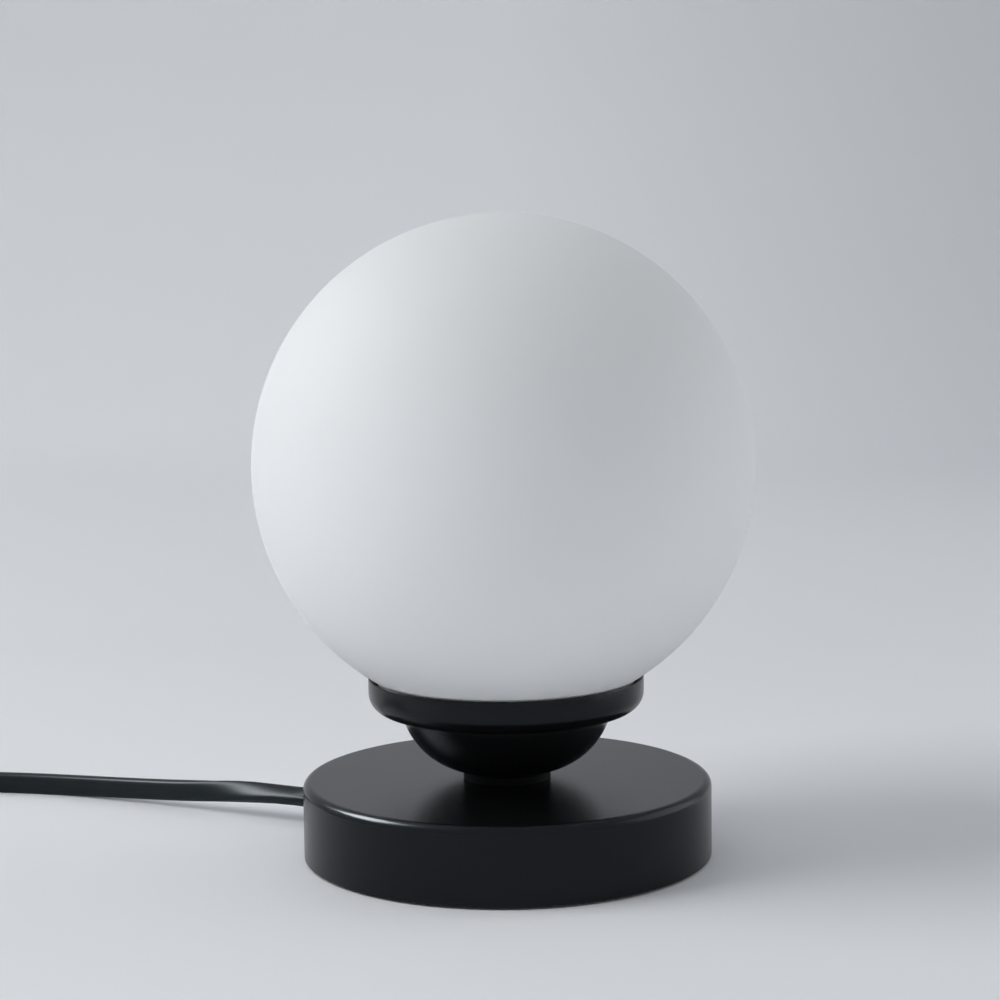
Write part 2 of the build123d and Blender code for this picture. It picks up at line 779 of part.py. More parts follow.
with BuildPart() as switch_rocker:
    with BuildSketch(rocker_plane):
        with BuildLine():
            ThreePointArc(
                (rocker_half, rocker_above_pin),
                (0, rocker_above_pin - rocker_dish),
                (-rocker_half, rocker_above_pin),
            )
            Polyline(
                (-rocker_half, rocker_above_pin),
                (-rocker_half, 0),
                (-rocker_half / 2, -rocker_below_pin),
                (rocker_half / 2, -rocker_below_pin),
                (rocker_half, 0),
                (rocker_half, rocker_above_pin),
            )
        make_face()
        Circle(pin_radius + pin_slack, mode=Mode.SUBTRACT)
    extrude(amount=rocker_width / 2, both=True)

contact_spots = [(switch_middle_x + contact_offset, switch_y), (switch_middle_x - contact_offset, switch_y)]

with BuildPart() as switch_contacts:
    with BuildSketch(Plane.XY.offset(switch_floor_z)):
        with Locations(*contact_spots):
            Rectangle(contact_length, contact_width)
    extrude(amount=contact_sheet)
    with BuildSketch(Plane.XY.offset(switch_floor_z)):
        with Locations(*contact_spots):
            Rectangle(contact_sheet, contact_width)
    extrude(amount=contact_height)

# Coil: a layer winds in, climbs where the winding turns back, and the next layer winds out above it
coil_y = switch_y - coil_outer_radius
coil_floor_z = tie_sheet + cord_slack + cord_floor_z
coil_inner_radius = coil_outer_radius - coil_turns_per_layer * coil_pitch
coil_total_turns = 2 * coil_turns_per_layer + 0.5
quarter_steps = round(4 * coil_total_turns)
lead_length = cord_width


def coil_point(turns):
    """The coil's middle line, by the turns wound since its start at the far side from the front."""
    wound = min(turns, coil_turns_per_layer)
    climb = min(max(turns - coil_turns_per_layer, 0), 0.5) / 0.5
    unwound = max(turns - coil_turns_per_layer - 0.5, 0)
    dip = coil_climb_dip * math.sin(math.pi * climb) ** 2
    radius = coil_outer_radius - coil_pitch * (wound - unwound) - dip
    height = coil_floor_z + coil_layer_step * (1 - math.cos(math.pi * climb)) / 2
    angle = math.pi / 2 + 2 * math.pi * turns
    return Vector(coil_x + radius * math.cos(angle), coil_y + radius * math.sin(angle), height)


def coil_way(turns):
    """The direction in which the coil's middle line runs, straight back or forth at its two ends."""
    if turns == 0:
        return Vector(-1, 0, 0)
    if turns == coil_total_turns:
        return Vector(1, 0, 0)
    step = 0.001
    return (coil_point(turns + step) - coil_point(turns - step)).normalized()


def biarc_tangents(start, start_way, end, end_way):
    """The two points whose middle joins an arc that leaves start to one that reaches end."""
    chord = end - start
    spread = 2 * (1 - start_way.dot(end_way))
    along = chord.dot(start_way + end_way)
    reach = (math.sqrt(along**2 + spread * chord.dot(chord)) - along) / spread
    return start + start_way * reach, end - end_way * reach


def section_spine(turns):
    """Three points down the middle of the section, which leans inwards by what the line has climbed."""
    here = coil_point(turns)
    outwards = Vector(here.X - coil_x, here.Y - coil_y, 0)
    lean = (here.Z - coil_floor_z) / outwards.length
    upright = Vector(0, 0, math.cos(lean)) - outwards.normalized() * math.sin(lean)
    half = (cord_width - cord_thickness) / 2
    return [here - upright * half, here, here + upright * half]


def coil_gap():
    """The least gap between the coil and itself, with each section as thick as its cut corners reach."""
    stations = 48
    spines = [section_spine(i / stations) for i in range(round(coil_total_turns * stations) + 1)]
    corner_reach = cord_thickness / math.cos(math.pi / 8)
    least = math.inf
    for i, spine in enumerate(spines):
        for other in spines[i + stations // 2:]:
            least = min(least, min((a - b).length for a in spine for b in other))
    return least - corner_reach


coil_start = coil_point(0)
coil_end = coil_point(coil_total_turns)

with BuildPart() as cord_coil:
    with BuildLine() as coil_line:
        Line(coil_start + Vector(lead_length, 0, 0), coil_start)
        for quarter in range(quarter_steps):
            here = coil_point(quarter / 4)
            there = coil_point((quarter + 1) / 4)
            here_way = coil_way(quarter / 4)
            leave, arrive = biarc_tangents(here, here_way, there, coil_way((quarter + 1) / 4))
            middle = (leave + arrive) / 2
            TangentArc(here, middle, tangent=here_way)
            TangentArc(middle, there, tangent=arrive - leave)
        Line(coil_end, coil_end + Vector(lead_length, 0, 0))
    lead_in = section_plane(coil_start + Vector(lead_length, 0, 0), Vector(-1, 0, 0))
    sweep(cord_outline(lead_in), path=coil_line.wire())
report_cord("cord_coil", cord_coil.part, coil_line.wire().length)
print("cord_coil least gap", round(coil_gap(), 2))

# Strap round the turns at the side nearer the lamp
tie_turns = [0.75 + turn for turn in range(coil_turns_per_layer)]
innermost_face = coil_outer_radius - coil_pitch * tie_turns[-1] - cord_thickness / 2
tie_inner_reach = math.sqrt(innermost_face**2 - (tie_width / 2) ** 2) - tie_slack
tie_outer_reach = coil_outer_radius - coil_pitch * tie_turns[0] + cord_thickness / 2 + tie_slack
tie_top_z = coil_floor_z + coil_layer_step + cord_width / 2 + tie_slack
tie_middle_x = coil_x + (tie_inner_reach + tie_outer_reach) / 2
tie_middle_z = (tie_sheet + tie_top_z) / 2
tie_long = tie_outer_reach - tie_inner_reach
tie_high = tie_top_z - tie_sheet

with BuildPart() as cord_tie:
    with BuildSketch(Plane.XZ.offset(-coil_y)):
        with Locations((tie_middle_x, tie_middle_z)):
            RectangleRounded(tie_long + 2 * tie_sheet, tie_high + 2 * tie_sheet, tie_corner + tie_sheet)
            RectangleRounded(tie_long, tie_high, tie_corner, mode=Mode.SUBTRACT)
    extrude(amount=tie_width / 2, both=True)

# Short stretches from the switch to the coil and from the coil to the plug
link_end_x = coil_x + lead_length
tail_start = coil_end + Vector(lead_length, 0, 0)
plug_middle_z = plug_height / 2
plug_y = coil_end.Y

cord_link = lay_cord("cord_link", [
    (switch_far_x + switch_grip, switch_y, switch_cord_z),
    (link_end_x + 2 * link_run, switch_y, switch_cord_z),
    (link_end_x + link_run, switch_y, coil_floor_z),
    (link_end_x, switch_y, coil_floor_z),
])

plug_near_x = tail_start.X + 2 * tail_run + tail_slope_run

cord_tail = lay_cord("cord_tail", [
    tail_start,
    tail_start + Vector(tail_run, 0, 0),
    (plug_near_x - tail_run, plug_y, plug_middle_z),
    (plug_near_x, plug_y, plug_middle_z),
])

# Moulded plug with two part-sleeved pins
plug_front_x = plug_near_x + plug_length
sleeve_end_x = plug_front_x + plug_sleeve_length
pin_core_radius = plug_pin_radius - plug_sleeve_wall
pin_spots = [(plug_pin_spacing / 2, 0), (-plug_pin_spacing / 2, 0)]
plug_sections = [
    (plug_near_x, plug_tail_width, plug_tail_height),
    (plug_near_x + plug_neck_length, plug_neck_width, plug_neck_height),
    (plug_front_x - plug_grip_length, plug_grip_width, plug_height),
    (plug_front_x, plug_width, plug_height),
]


def plug_plane(x):
    """The plane across the plug at a place along it, with its own X across the pins."""
    return Plane(origin=(x, plug_y, plug_middle_z), x_dir=(0, 1, 0), z_dir=(1, 0, 0))


with BuildPart() as plug_body:
    for section_x, section_width, section_height in plug_sections:
        with BuildSketch(plug_plane(section_x)):
            RectangleRounded(section_width, section_height, plug_corner)
    loft(ruled=True)
    with BuildSketch(plug_plane(plug_front_x)):
        with Locations(*pin_spots):
            Circle(pin_core_radius + thread_slack)
    extrude(amount=-plug_pin_root, mode=Mode.SUBTRACT)


def plug_pin(spot):
    """One contact pin: a thin root under the sleeve and a full, rounded tip."""
    with BuildPart() as pin:
        with BuildSketch(plug_plane(plug_front_x - plug_pin_root)):
            with Locations(spot):
                Circle(pin_core_radius)
        extrude(amount=plug_pin_root + plug_sleeve_length)
        with BuildSketch(plug_plane(sleeve_end_x)):
            with Locations(spot):
                Circle(plug_pin_radius)
        extrude(amount=plug_pin_length - plug_sleeve_length)
        fillet(pin.edges().group_by(Axis.X)[-1], plug_pin_tip)
    return pin


plug_pin_left = plug_pin(pin_spots[0])
plug_pin_right = plug_pin(pin_spots[1])

with BuildPart() as plug_sleeves:
    with BuildSketch(plug_plane(plug_front_x)):
        with Locations(*pin_spots):
            Circle(plug_pin_radius)
            Circle(pin_core_radius + thread_slack, mode=Mode.SUBTRACT)
    extrude(amount=plug_sleeve_length)

# One file for each piece
pieces = {
    "foot_ring": foot_ring,
    "bottom_cover": bottom_cover,
    "cover_screws": cover_screws,
    "ballast": ballast,
    "base_pan": base_pan,
    "cord_bushing": cord_bushing,
    "inner_cord": inner_cord,
    "live_wire": live_wire,
    "neutral_wire": neutral_wire,
    "nipple": nipple,
    "lower_nut": lower_nut,
    "lower_washer": lower_washer,
    "collar": collar,
    "upper_washer": upper_washer,
    "upper_nut": upper_nut,
    "cup": cup,
    "gasket": gasket,
    "globe": globe,
    "lampholder_cap": lampholder_cap,
    "lampholder_body": lampholder_body,
    "lampholder_insert": lampholder_insert,
    "lampholder_shell": lampholder_shell,
    "lampholder_contact": lampholder_contact,
    "terminal_blocks": terminal_blocks,
    "terminal_screws": terminal_screws,
    "bulb_contact": bulb_contact,
    "bulb_insulator": bulb_insulator,
    "bulb_screw_shell": bulb_screw_shell,
    "bulb_housing": bulb_housing,
    "led_board": led_board,
    "bulb_envelope": bulb_envelope,
    "cord_free": cord_free,
    "switch_lower": switch_lower,
    "switch_upper": switch_upper,
    "switch_screws": switch_screws,
    "switch_pin": switch_pin,
    "switch_rocker": switch_rocker,
    "switch_contacts": switch_contacts,
    "cord_link": cord_link,
    "cord_coil": cord_coil,
    "cord_tie": cord_tie,
    "cord_tail": cord_tail,
    "plug_body": plug_body,
    "plug_pin_left": plug_pin_left,
    "plug_pin_right": plug_pin_right,
    "plug_sleeves": plug_sleeves,
}

os.makedirs("parts", exist_ok=True)
for name, piece in pieces.items():
    piece.part.label = name
    export_step(piece.part, f"parts/{name}.step")
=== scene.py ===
# Glass table lamp: an opal globe in a black spun cup on a weighted round base, with a flat mains lead.
# The lamp's sizes are in millimetres and turned to the scene's metres with MM. The stage's are in metres.
import json
import math

import bmesh
import bpy
from mathutils import Matrix, Vector


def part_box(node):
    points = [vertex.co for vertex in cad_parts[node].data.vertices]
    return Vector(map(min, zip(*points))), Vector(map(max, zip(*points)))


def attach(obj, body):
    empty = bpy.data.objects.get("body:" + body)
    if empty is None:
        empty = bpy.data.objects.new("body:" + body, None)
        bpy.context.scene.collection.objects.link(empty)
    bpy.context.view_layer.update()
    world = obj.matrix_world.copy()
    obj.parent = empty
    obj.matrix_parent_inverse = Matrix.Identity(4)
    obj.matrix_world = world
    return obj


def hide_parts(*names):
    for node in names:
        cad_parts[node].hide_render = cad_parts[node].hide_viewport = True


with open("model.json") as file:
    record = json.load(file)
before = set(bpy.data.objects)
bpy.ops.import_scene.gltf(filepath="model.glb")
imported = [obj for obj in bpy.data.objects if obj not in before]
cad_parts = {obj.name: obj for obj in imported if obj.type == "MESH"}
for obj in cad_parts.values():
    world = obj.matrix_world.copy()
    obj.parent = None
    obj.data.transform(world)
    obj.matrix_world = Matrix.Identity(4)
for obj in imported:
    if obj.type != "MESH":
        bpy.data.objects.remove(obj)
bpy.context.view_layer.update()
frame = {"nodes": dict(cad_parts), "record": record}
nodes = frame["nodes"]

MM = 0.001

# Fineness of the meshes
merge_distance = 0.002
ring_segments = 32
line_resolution = 6

# Cup and globe, as in the frame
cup_sheet = 1.5
cup_corner_radius = 5.6
cup_ledge_under = 44.7
cup_rim_bevel = 0.6
cup_edge = 0.2
bowl_flat_radius = 9.4
bowl_arc_radius = 22.8
axis_hole_radius = 5.25
glass_wall = 2.8
neck_outer_radius = 38.6
neck_lip_radius = 1.2

# Lampholder and bulb
holder_radius = 20.0
holder_boss_radius = 8.5
holder_boss_height = 5.1
holder_cap_floor = 2.0
holder_skirt = 5.0
holder_ledge = 4.0
holder_wall = 2.9
holder_lip_width = 5.0
holder_lip_height = 2.0
holder_bore_radius = 5.05
holder_cap_edge = 0.5
holder_sleeve_edge = 0.6
shell_sheet = 0.5
shell_plain_end = 1.0
bulb_cap_sheet = 0.6
bulb_cap_corner = 1.6
bulb_cap_skirt = 7.0
thread_pitch = 3.63
thread_depth = 0.9
thread_fade = 1.8

# Lead
cord_width = 6.8
cord_thickness = 4.2
cord_edge_roundness = 0.5
cord_exit = (-55.772, 32.2, 8.8)
lamp_side_route = [
    cord_exit,
    (-77.422, 44.7, 8.8),
    (-104.0, 58.5, 6.0),
    (-130.0, 72.5, 4.0),
    (-156.0, 82.0, 3.4),
    (-182.0, 86.5, 3.4),
    (-204.0, 88.0, 6.0),
    (-228.0, 88.0, 6.0),
]
link_route = [
    (-268.0, 88.0, 6.0),
    (-284.2, 88.0, 6.0),
    (-295.2, 88.0, 4.1),
    (-306.2, 88.0, 4.1),
]
tail_route = [
    (-306.2, -2.0, 11.9),
    (-292.2, -2.0, 11.9),
    (-268.2, -2.0, 6.85),
    (-254.2, -2.0, 6.85),
]
coil_centre = (-313.0, 43.0)
coil_floor = 4.1
coil_outer_radius = 45.0
coil_pitch = 5.3
coil_turns_per_layer = 3
coil_layer_step = 7.8
coil_climb_turns = 0.5
coil_climb_dip = 1.6
coil_points_per_turn = 24

# Roll of the lead outside the base, in degrees, and how far along it comes and goes
exit_roll = 66.0
exit_roll_start = 0.0
exit_roll_full = 8.0
exit_roll_fade = 14.0
exit_roll_gone = 61.0
lean = -8.0

# Strap round the coil
strap_width = 12.0
strap_sheet = 0.6
strap_corner = 1.2
strap_overlap = 9.0
strap_lap_gap = 0.09

# Switch rocker
rocker_pin = (-248.0, 88.0, 10.6)
rocker_rest_angle = 8.0
mark_reach = 4.4
mark_height = 4.1
mark_slope = 7.7
mark_relief = 0.2
mark_edge = 0.1
off_ring_inner = 1.0
off_ring_outer = 1.6
on_bar_width = 0.6
on_bar_length = 3.2

# Plug: place along it from its tail, width and height
plug_stations = [
    (0.0, 9.0, 10.0),
    (3.0, 10.4, 10.5),
    (6.0, 13.2, 11.2),
    (9.0, 16.6, 11.9),
    (12.0, 20.4, 12.6),
    (15.0, 25.2, 13.1),
    (18.0, 29.4, 13.5),
    (21.0, 32.0, 13.7),
]
plug_corner = 3.0
plug_corner_share = 0.45
plug_rib_first = 23.0
plug_rib_pitch = 2.6
plug_rib_count = 4
plug_rib_depth = 0.7
plug_rib_shares = (0.0, 0.2, 0.6, 0.8)
plug_face = (32.6, 12.3)
plug_face_edge = 1.0
tail_guard_length = 13.0
tail_guard_end = (6.4, 8.6)
tail_guard_rings = 4
tail_guard_groove = 0.9
tail_guard_shares = (0.0, 0.45, 0.55, 0.9)

# Camera
camera_place = (-1.152, -740.05, 201.15)
camera_pitch = 7.17
camera_roll = -0.70
camera_focal = 89.806
sensor_width = 36.0

# Daylight that a coating or sheath mirrors, a little blue
mirrored_tint = "#E4F1FB"


def linear(code):
    """A colour written as sRGB hex, as the linear red, green, blue and alpha that a socket takes."""
    parts = [int(code[i:i + 2], 16) / 255 for i in (1, 3, 5)]
    return [p / 12.92 if p <= 0.04045 else ((p + 0.055) / 1.055) ** 2.4 for p in parts] + [1.0]


def per_mm(size):
    """A texture scale whose features are about this many millimetres across."""
    return 1.0 / (size * MM)


def add_node(tree, kind, settings=None, links=None):
    """Adds a node, sets its properties or input values by name, and links its inputs."""
    node = tree.nodes.new(kind)
    for key, value in (settings or {}).items():
        if isinstance(key, int) or key in node.inputs:
            node.inputs[key].default_value = value
        else:
            setattr(node, key, value)
    for key, socket in (links or {}).items():
        tree.links.new(socket, node.inputs[key])
    return node


def new_material(name, **sockets):
    """A Principled material with constants on its own sockets, its shader and its object coordinates."""
    material = bpy.data.materials.new(name)
    material.use_nodes = True
    tree = material.node_tree
    shader = tree.nodes["Principled BSDF"]
    for key, value in sockets.items():
        shader.inputs[key.replace("_", " ")].default_value = value
    place = add_node(tree, "ShaderNodeTexCoord").outputs["Object"]
    return material, tree, shader, place


def mottle(tree, shader, place, size, dark, light):
    """Drives the colour between two close tones with soft patches of a size in millimetres."""
    patches = add_node(
        tree, "ShaderNodeTexNoise", {"Scale": per_mm(size), "Detail": 3.0}, {"Vector": place}
    )
    tones = add_node(
        tree,
        "ShaderNodeMix",
        {"data_type": "RGBA", 6: linear(dark), 7: linear(light)},
        {0: patches.outputs["Fac"]},
    )
    tree.links.new(tones.outputs[2], shader.inputs["Base Color"])
    return patches.outputs["Fac"]


def surface(tree, shader, worn, low, high, raised=None, depth=0.0, strength=1.0):
    """Lets roughness swing between two values with one pattern, and raises another by some millimetres."""
    swing = add_node(tree, "ShaderNodeMapRange", {"To Min": low, "To Max": high}, {"Value": worn})
    tree.links.new(swing.outputs["Result"], shader.inputs["Roughness"])
    if raised:
        bump = add_node(
            tree, "ShaderNodeBump", {"Strength": strength, "Distance": depth * MM}, {"Height": raised}
        )
        tree.links.new(bump.outputs["Normal"], shader.inputs["Normal"])


def opal_glass():
    """Flashed opal glass, blown and acid-etched: a white body that light soaks into, with a silky skin.

    The etch is drawn coarser than it is, so that it shows.
    """
    material, tree, shader, place = new_material(
        "opal_glass_etched",
        IOR=1.5,
        Specular_IOR_Level=0.08,
        Subsurface_Weight=0.3,
        Subsurface_Scale=0.003,
        Subsurface_Radius=(1.0, 1.0, 1.0),
    )
    mottle(tree, shader, place, 60.0, "#EBEDEF", "#EEF0F2")
    etch = add_node(tree, "ShaderNodeTexNoise", {"Scale": per_mm(1.2), "Detail": 2.0}, {"Vector": place})
    surface(tree, shader, etch.outputs["Fac"], 0.62, 0.7, etch.outputs["Fac"], 0.01, 0.3)
    return material


def black_paint(name, gloss, low, high):
    """Powder coat on spun and pressed steel: near black, its reflections softened by an orange peel."""
    material, tree, shader, place = new_material(
        name, IOR=1.5, Specular_IOR_Level=gloss, Specular_Tint=linear(mirrored_tint)
    )
    mottle(tree, shader, place, 9.0, "#0A0B0B", "#0E0F10")
    peel = add_node(tree, "ShaderNodeTexNoise", {"Scale": per_mm(1.6), "Detail": 2.0}, {"Vector": place})
    surface(tree, shader, peel.outputs["Fac"], low, high, peel.outputs["Fac"], 0.012, 0.5)
    return material


def black_pvc():
    """Extruded soft PVC: charcoal black, with a waxy sheen that is broken by faint drag marks.

    The marks are drawn coarser than they are, so that they show.
    """
    material, tree, shader, place = new_material(
        "pvc_sheath_black", IOR=1.53, Specular_IOR_Level=0.14, Specular_Tint=linear(mirrored_tint)
    )
    mottle(tree, shader, place, 6.0, "#1A1E21", "#22272A")
    drag = add_node(tree, "ShaderNodeTexNoise", {"Scale": per_mm(0.9), "Detail": 2.0}, {"Vector": place})
    surface(tree, shader, drag.outputs["Fac"], 0.34, 0.42, drag.outputs["Fac"], 0.015, 0.5)
    return material


def moulded_black(name, grain, low, high):
    """Black moulded plastic, rubber or cap glass: dark, with a fine grain that scatters the highlight."""
    material, tree, shader, place = new_material(name, IOR=1.5)
    mottle(tree, shader, place, 7.0, "#101112", "#17181A")
    pits = add_node(tree, "ShaderNodeTexNoise", {"Scale": per_mm(grain), "Detail": 2.0}, {"Vector": place})
    surface(tree, shader, pits.outputs["Fac"], low, high, pits.outputs["Fac"], 0.03, 0.6)
    return material


def foot_foam():
    """Fine-celled EVA foam: matt dark grey with open cells at its skin."""
    material, tree, shader, place = new_material("eva_foam_dark", IOR=1.45)
    mottle(tree, shader, place, 3.0, "#1E1F20", "#2A2B2C")
    cells = add_node(tree, "ShaderNodeTexVoronoi", {"Scale": per_mm(0.8)}, {"Vector": place})
    surface(tree, shader, cells.outputs["Distance"], 0.8, 0.95, cells.outputs["Distance"], 0.1)
    return material


def silicone():
    """Moulded translucent silicone: milky, soft and a little waxy."""
    material, tree, shader, place = new_material("silicone_milky", IOR=1.41, Transmission_Weight=0.35)
    patches = mottle(tree, shader, place, 8.0, "#DCDDDA", "#E8E8E4")
    surface(tree, shader, patches, 0.42, 0.55)
    return material


def worked_metal(name, dark, light, grain, low, high):
    """Bare or plated metal: bright, with a fine grain, closer along Z, that stretches the highlight."""
    material, tree, shader, place = new_material(name, Metallic=1.0)
    mottle(tree, shader, place, 5.0, dark, light)
    drawn = add_node(tree, "ShaderNodeMapping", {"Scale": (1.0, 1.0, 6.0)}, {"Vector": place})
    lines = add_node(
        tree,
        "ShaderNodeTexNoise",
        {"Scale": per_mm(grain), "Detail": 2.0},
        {"Vector": drawn.outputs["Vector"]},
    )
    surface(tree, shader, lines.outputs["Fac"], low, high, lines.outputs["Fac"], 0.01, 0.4)
    return material


def cast_iron():
    """Grey iron from a sand mould: dull, dark and pebbled."""
    material, tree, shader, place = new_material("cast_iron_raw", Metallic=0.8)
    mottle(tree, shader, place, 4.0, "#4A4A4B", "#5E5E5F")
    sand = add_node(tree, "ShaderNodeTexNoise", {"Scale": per_mm(1.0), "Detail": 5.0}, {"Vector": place})
    surface(tree, shader, sand.outputs["Fac"], 0.6, 0.8, sand.outputs["Fac"], 0.15)
    return material


def moulded_pale(name, dark, light, low, high):
    """White moulded plastic, glazed ceramic or a frosted dome: pale, even and gently glossy."""
    material, tree, shader, place = new_material(name, IOR=1.5)
    patches = mottle(tree, shader, place, 14.0, dark, light)
    grain = add_node(tree, "ShaderNodeTexNoise", {"Scale": per_mm(0.8), "Detail": 2.0}, {"Vector": place})
    surface(tree, shader, patches, low, high, grain.outputs["Fac"], 0.01, 0.4)
    return material


def wire_skin(name, dark, light):
    """Coloured PVC on a single core: saturated and softly glossy."""
    material, tree, shader, place = new_material(name, IOR=1.53)
    patches = mottle(tree, shader, place, 5.0, dark, light)
    surface(tree, shader, patches, 0.32, 0.42)
    return material


def strap_weave():
    """Woven nylon strap with a loop pile: black, dry, with ribs across its width."""
    material, tree, shader, place = new_material("nylon_strap_black", IOR=1.5, Sheen_Weight=0.3)
    mottle(tree, shader, place, 2.0, "#141516", "#222325")
    ribs = add_node(
        tree,
        "ShaderNodeTexWave",
        {"Scale": per_mm(1.1) / 2, "bands_direction": "Y", "Distortion": 1.5, "Detail": 2.0},
        {"Vector": place},
    )
    surface(tree, shader, ribs.outputs["Fac"], 0.75, 0.9, ribs.outputs["Fac"], 0.12)
    return material


finishes = {
    "opal_glass": opal_glass(),
    "black_paint": black_paint("powder_coat_satin_black", gloss=0.24, low=0.22, high=0.28),
    "ballast_iron": cast_iron(),
    "zinc_steel": worked_metal("zinc_plated_steel", "#A9ADB0", "#BDC0C2", grain=0.8, low=0.28, high=0.4),
    "foot_foam": foot_foam(),
    "bushing_rubber": moulded_black("rubber_bushing_black", grain=0.7, low=0.55, high=0.7),
    "clear_silicone": silicone(),
    "holder_plastic": moulded_black("phenolic_black", grain=1.4, low=0.2, high=0.28),
    "holder_ceramic": moulded_pale("steatite_glazed", "#E2DFD6", "#EBE8E0", low=0.2, high=0.3),
    "shell_brass": worked_metal("brass_sheet", "#C79A45", "#D8AE5C", grain=0.8, low=0.22, high=0.34),
    "bulb_black": moulded_black("cap_glass_black", grain=2.0, low=0.1, high=0.16),
    "bulb_cap_metal": worked_metal("aluminium_rolled", "#C6C8CA", "#D4D6D7", grain=0.7, low=0.2, high=0.32),
    "bulb_white": moulded_pale("pbt_white", "#E9E9E6", "#F1F1EE", low=0.35, high=0.45),
    "bulb_dome": moulded_pale("polycarbonate_frosted", "#EFEFEB", "#F5F5F2", low=0.45, high=0.55),
    "black_pvc": black_pvc(),
    "brown_wire": wire_skin("pvc_brown", "#5A3015", "#6B3A1B"),
    "blue_wire": wire_skin("pvc_blue", "#1F4FA0", "#2A5DB4"),
    "switch_plastic": moulded_black("abs_black", grain=0.9, low=0.42, high=0.55),
    "tie_fabric": strap_weave(),
    "plug_pvc": moulded_black("pvc_moulded_black", grain=1.0, low=0.4, high=0.52),
    "pin_nickel": worked_metal("nickel_plate", "#C2BFB8", "#D2D0CA", grain=0.6, low=0.15, high=0.25),
}

for subpart in frame["record"]["subparts"]:
    mesh = nodes[subpart["node"]].data
    mesh.materials.clear()
    mesh.materials.append(finishes[subpart["material_slot"]])
matt_paint = black_paint("powder_coat_matt_black", gloss=0.08, low=0.5, high=0.6)
nodes["collar"].data.materials[0] = matt_paint


def finished(name, bm, slot, body, replaced, crease=35.0):
    """Closes a modelled piece: merged, facing outwards, smooth but for its creases, riding on its body."""
    bmesh.ops.remove_doubles(bm, verts=bm.verts, dist=merge_distance * MM)
    bmesh.ops.recalc_face_normals(bm, faces=bm.faces)
    for face in bm.faces:
        face.smooth = True
    for edge in bm.edges:
        edge.smooth = edge.calc_face_angle(0.0) < math.radians(crease)
    mesh = bpy.data.meshes.new(name)
    bm.to_mesh(mesh)
    bm.free()
    mesh.materials.append(finishes[slot])
    piece = bpy.data.objects.new(name, mesh)
    bpy.context.scene.collection.objects.link(piece)
    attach(piece, body)
    if replaced:
        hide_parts(*replaced)
    return piece


def arc(centre_r, centre_z, radius, start, end, steps):
    """Points of a round stretch of a profile, between two angles in degrees."""
    angles = [math.radians(start + (end - start) * i / steps) for i in range(steps + 1)]
    return [(centre_r + radius * math.cos(a), centre_z + radius * math.sin(a)) for a in angles]


def spun(profile, closed=True, steps=192):
    """A bmesh turned about the lamp's axis from (radius, height) points in millimetres."""
    bm = bmesh.new()
    corners = [bm.verts.new((r * MM, 0.0, z * MM)) for r, z in profile]
    ends = corners[1:] + corners[:1] if closed else corners[1:]
    sides = [bm.edges.new(pair) for pair in zip(corners, ends)]
    bmesh.ops.spin(
        bm,
        geom=corners + sides,
        cent=(0, 0, 0),
        axis=(0, 0, 1),
        angle=2 * math.pi,
        steps=steps,
        use_merge=True,
    )
    bmesh.ops.remove_doubles(bm, verts=bm.verts, dist=merge_distance * MM)
    bmesh.ops.recalc_face_normals(bm, faces=bm.faces)
    return bm


def drawn_out(points, sideways):
    """A bmesh strip: a line through points in metres, extruded sideways by a vector."""
    bm = bmesh.new()
    line = [bm.verts.new(point) for point in points]
    edges = [bm.edges.new(pair) for pair in zip(line, line[1:])]
    grown = bmesh.ops.extrude_edge_only(bm, edges=edges)["geom"]
    verts = [g for g in grown if isinstance(g, bmesh.types.BMVert)]
    bmesh.ops.translate(bm, verts=verts, vec=sideways)
    bmesh.ops.recalc_face_normals(bm, faces=bm.faces)
    return bm


def ring(bm, radius):
    """The vertices of a circle, turned by half a step so that none lies on an axis."""
    half_step = Matrix.Rotation(math.pi / ring_segments, 4, "Z")
    return bmesh.ops.create_circle(bm, segments=ring_segments, radius=radius, matrix=half_step)["verts"]


def soften(bm, width, sharper=28.0):
    """Rounds every edge sharper than an angle by a width in millimetres."""
    sharp = [e for e in bm.edges if e.calc_face_angle(0.0) > math.radians(sharper)]
    bmesh.ops.bevel(
        bm,
        geom=sharp,
        offset=width * MM,
        affect="EDGES",
        segments=3,
        profile=0.5,
        material=-1,
        clamp_overlap=True,
    )


def ease(value, low, high):
    """A smooth step from 0 at low to 1 at high."""
    share = min(max((value - low) / (high - low), 0.0), 1.0)
    return share * share * (3 - 2 * share)


# Globe
globe_low, globe_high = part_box("globe")
globe_radius = globe_high.x / MM
globe_top = globe_high.z / MM
globe_centre = globe_top - globe_radius
neck_under = globe_low.z / MM
ball_inner_radius = globe_radius - glass_wall
neck_inner_radius = neck_outer_radius - glass_wall
outer_start = -math.degrees(math.acos(neck_outer_radius / globe_radius))
inner_start = -math.degrees(math.acos(neck_inner_radius / ball_inner_radius))

glass_profile = (
    arc(0, globe_centre, ball_inner_radius, 90, inner_start, 64)
    + arc(neck_inner_radius + neck_lip_radius, neck_under + neck_lip_radius, neck_lip_radius, 180, 270, 5)
    + arc(neck_outer_radius - neck_lip_radius, neck_under + neck_lip_radius, neck_lip_radius, -90, 0, 5)
    + arc(0, globe_centre, globe_radius, outer_start, 90, 96)
)
finished("globe_glass", spun(glass_profile, closed=False), "opal_glass", "globe", ["globe"], crease=50.0)

